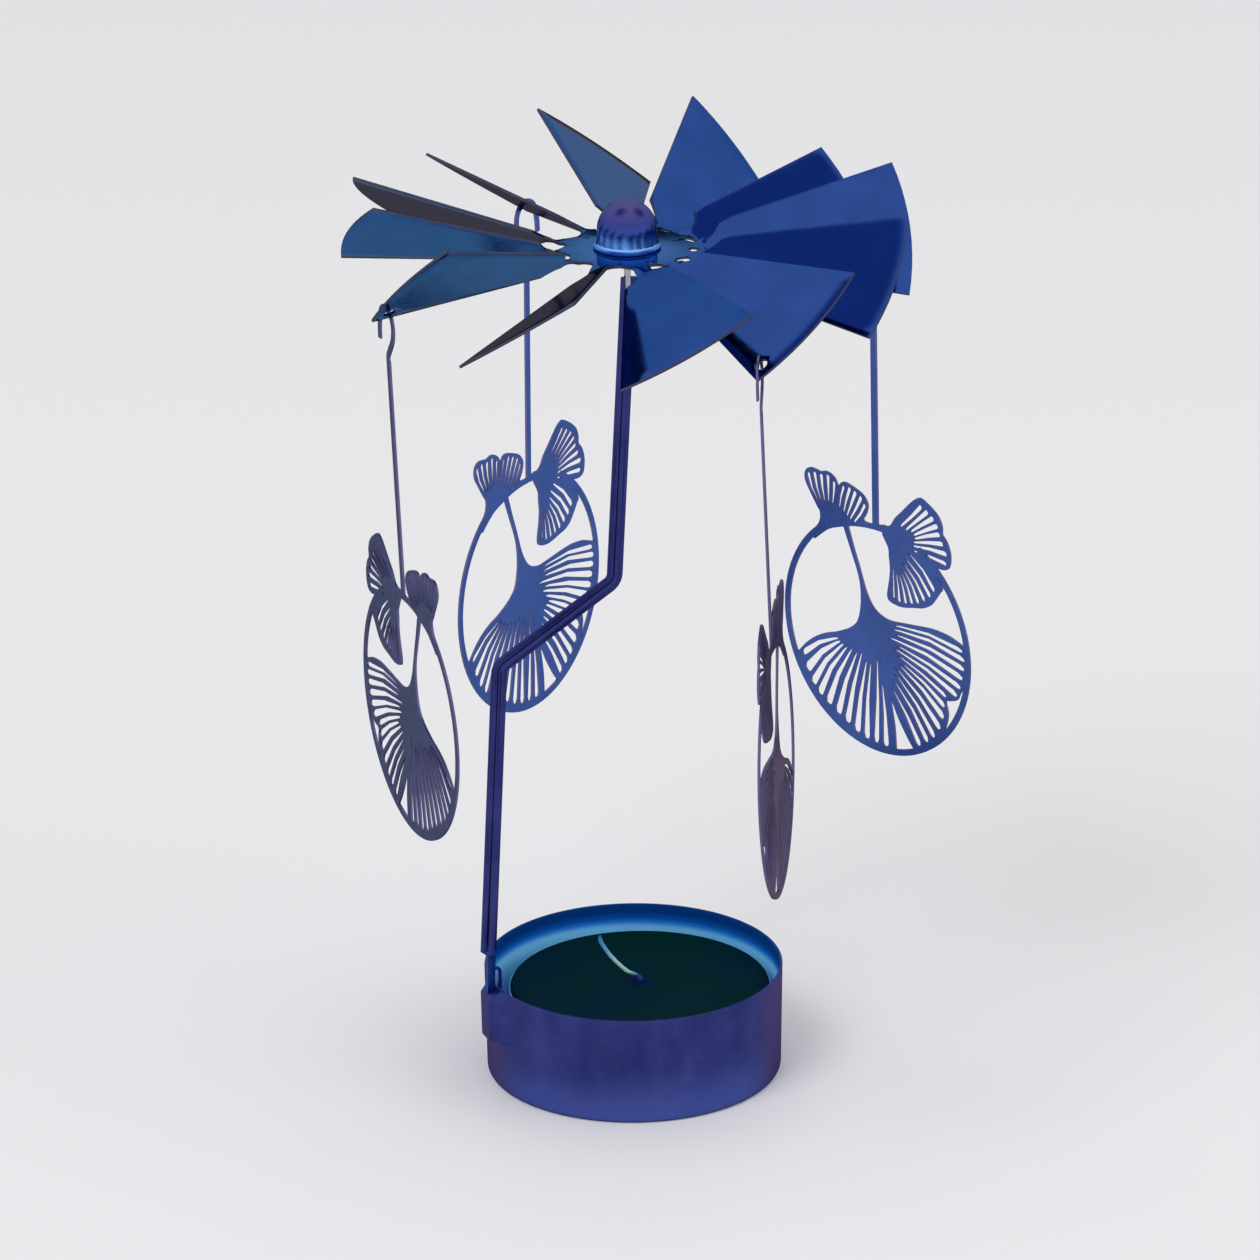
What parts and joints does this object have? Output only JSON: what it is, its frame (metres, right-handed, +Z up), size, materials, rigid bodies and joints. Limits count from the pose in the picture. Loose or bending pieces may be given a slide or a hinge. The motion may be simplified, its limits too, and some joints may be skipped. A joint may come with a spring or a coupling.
{
  "type": "candle carousel",
  "caption": "Tealight carousel: round metal cup with a bent stem whose needle carries a fan of twisted blades with hanging rings of etched ginkgo leaves.",
  "frame": {"origin": "centre of the cup's underside, on the rotor's axis", "axes": "+Z up along the rotor's axis, -Y towards the side seen in the picture, +X to its right"},
  "size_m": [0.0882, 0.102, 0.1349],
  "materials": {
    "cup_metal": "blue-violet lacquered sheet steel, satin gloss",
    "stem_metal": "dark blue-violet lacquered steel strip, satin",
    "needle_steel": "polished steel",
    "rotor_metal": "blue-violet lacquered sheet steel, glossy",
    "dome_metal": "blue-violet lacquered steel, polished",
    "leaf_metal": "violet-grey lacquered etched sheet, satin",
    "tealight_metal": "thin bluish aluminium",
    "wax": "dark teal wax, smooth, faintly translucent",
    "wick": "braided wick, burnt at the tip",
    "sustainer_metal": "tinned sheet"
  },
  "bodies": {
    "base": {"candle_cup": "cup_metal", "stem": "stem_metal", "pivot_needle": "needle_steel"},
    "rotor": {"rotor_fan": "rotor_metal", "dome_cap": "dome_metal"},
    "pendant_front": {"pendant_front": "leaf_metal"},
    "pendant_right": {"pendant_right": "leaf_metal"},
    "pendant_back": {"pendant_back": "leaf_metal"},
    "pendant_left": {"pendant_left": "leaf_metal"},
    "tealight": {"tealight_cup": "tealight_metal", "wax": "wax", "wick": "wick", "wick_sustainer": "sustainer_metal"}
  },
  "joints": [
    {"name": "rotor_spin", "type": "hinge", "parent": "base", "child": "rotor", "pos_m": [0, 0, 0.1237], "axis": [0, 0, 1], "continuous": true},
    {"name": "front_swing", "type": "hinge", "parent": "rotor", "child": "pendant_front", "pos_m": [0.01799, -0.03226, 0.11728], "axis": [-0.1478, -0.989, 0], "range_deg": [-5, 25]},
    {"name": "right_swing", "type": "hinge", "parent": "rotor", "child": "pendant_right", "pos_m": [0.03358, 0.01564, 0.11755], "axis": [0.7071, -0.7071, 0], "range_deg": [-5, 25]},
    {"name": "back_swing", "type": "hinge", "parent": "rotor", "child": "pendant_back", "pos_m": [-0.01519, 0.03411, 0.11933], "axis": [0.5519, 0.8339, 0], "range_deg": [-5, 25]},
    {"name": "left_swing", "type": "hinge", "parent": "rotor", "child": "pendant_left", "pos_m": [-0.03256, -0.01878, 0.12089], "axis": [-0.3827, 0.9239, 0], "range_deg": [-5, 25]},
    {"name": "tealight_lift", "type": "slide", "parent": "base", "child": "tealight", "axis": [0, 0, 1], "range_m": [0, 0.02]}
  ]
}
